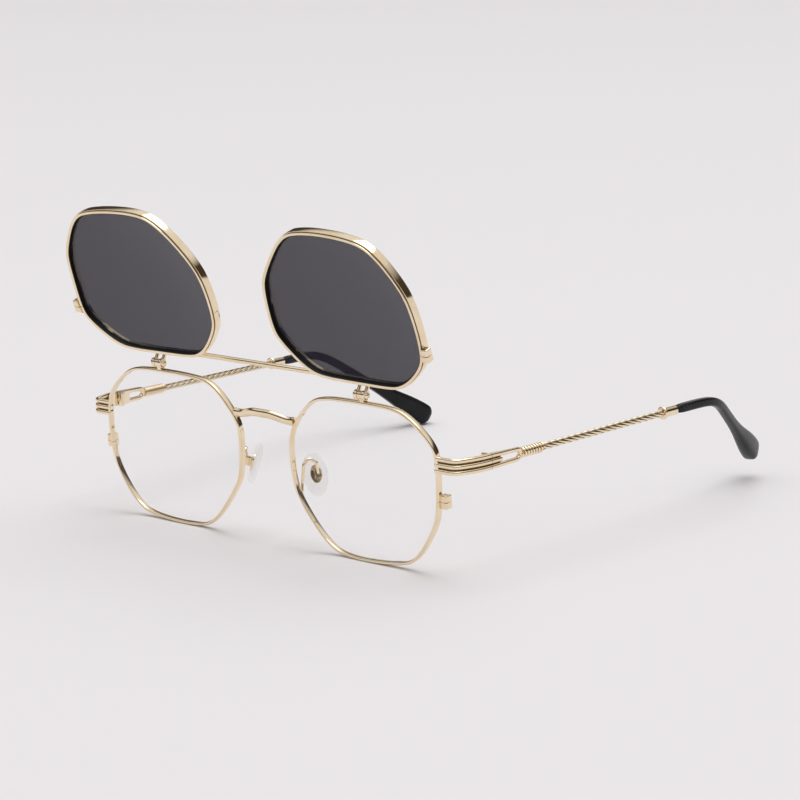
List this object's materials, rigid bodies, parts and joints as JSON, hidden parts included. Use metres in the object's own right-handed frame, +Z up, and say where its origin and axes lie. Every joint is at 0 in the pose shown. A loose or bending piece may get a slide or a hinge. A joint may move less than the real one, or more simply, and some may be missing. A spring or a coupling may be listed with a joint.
{
  "type": "flip up sunglasses",
  "caption": "Eyeglasses with rounded octagonal gold rims, clear lenses and rope-twist folding temples, and a hinged clip of grey lenses that flips up above the brow",
  "frame": {"origin": "on the resting surface, below the middle of the bounding box", "axes": "X to the wearer's left, Y to the back of the head along the temples, Z up"},
  "size_m": [0.1638, 0.1794, 0.0982],
  "materials": {
    "gold_metal": "polished pale gold",
    "clear_lens": "clear polished",
    "grey_lens": "smoke grey polished",
    "pad_silicone": "clear silicone",
    "black_tip": "polished black"
  },
  "bodies": {
    "front_frame": {"bridge": "gold_metal", "rim_lock_screws": "gold_metal", "pad_pins": "gold_metal", "rim_left": "gold_metal", "rim_right": "gold_metal", "lens_left": "clear_lens", "lens_right": "clear_lens", "rim_lock_left": "gold_metal", "rim_lock_right": "gold_metal", "end_piece_left": "gold_metal", "end_piece_right": "gold_metal", "front_hinge_left": "gold_metal", "front_hinge_right": "gold_metal", "hinge_screw_left": "gold_metal", "hinge_screw_right": "gold_metal", "pad_box_left": "gold_metal", "pad_box_right": "gold_metal", "pad_arm_left": "gold_metal", "pad_arm_right": "gold_metal", "flip_post_left": "gold_metal", "flip_post_right": "gold_metal"},
    "clip": {"clip_bar": "gold_metal", "clip_lock_screws": "gold_metal", "flip_pins": "gold_metal", "clip_rim_left": "gold_metal", "clip_rim_right": "gold_metal", "sun_lens_left": "grey_lens", "sun_lens_right": "grey_lens", "clip_lock_left": "gold_metal", "clip_lock_right": "gold_metal", "flip_lug_left": "gold_metal", "flip_lug_right": "gold_metal"},
    "temple_left": {"temple_fork_left": "gold_metal", "temple_hinge_left": "gold_metal", "ferrule_left": "gold_metal", "rope_left": "gold_metal", "collar_left": "gold_metal", "temple_core_left": "gold_metal", "tip_left": "black_tip"},
    "temple_right": {"temple_fork_right": "gold_metal", "temple_hinge_right": "gold_metal", "ferrule_right": "gold_metal", "rope_right": "gold_metal", "collar_right": "gold_metal", "temple_core_right": "gold_metal", "tip_right": "black_tip"},
    "left_nose_pad": {"nose_pad_left": "pad_silicone", "pad_core_left": "gold_metal"},
    "right_nose_pad": {"nose_pad_right": "pad_silicone", "pad_core_right": "gold_metal"}
  },
  "joints": [
    {"name": "clip_flip", "type": "hinge", "parent": "front_frame", "child": "clip", "pos_m": [0, -0.07265, 0.04997], "axis": [1, 0, 0], "range_deg": [0, 163.6]},
    {"name": "temple_left_fold", "type": "hinge", "parent": "front_frame", "child": "temple_left", "pos_m": [0.07171, -0.05748, 0.03282], "axis": [0, -0.0149, 0.9999], "range_deg": [0, 90]},
    {"name": "temple_right_fold", "type": "hinge", "parent": "front_frame", "child": "temple_right", "pos_m": [-0.07171, -0.05743, 0.03227], "axis": [0, -0.02, -0.9998], "range_deg": [0, 78]},
    {"name": "nose_pad_left_rock", "type": "hinge", "parent": "front_frame", "child": "left_nose_pad", "pos_m": [0.0132, -0.06196, 0.02143], "axis": [0.4695, 0.8797, 0.0759], "range_deg": [-8, 8]},
    {"name": "nose_pad_right_rock", "type": "hinge", "parent": "front_frame", "child": "right_nose_pad", "pos_m": [-0.0132, -0.06196, 0.02143], "axis": [-0.4695, 0.8797, 0.0759], "range_deg": [-8, 8]}
  ]
}
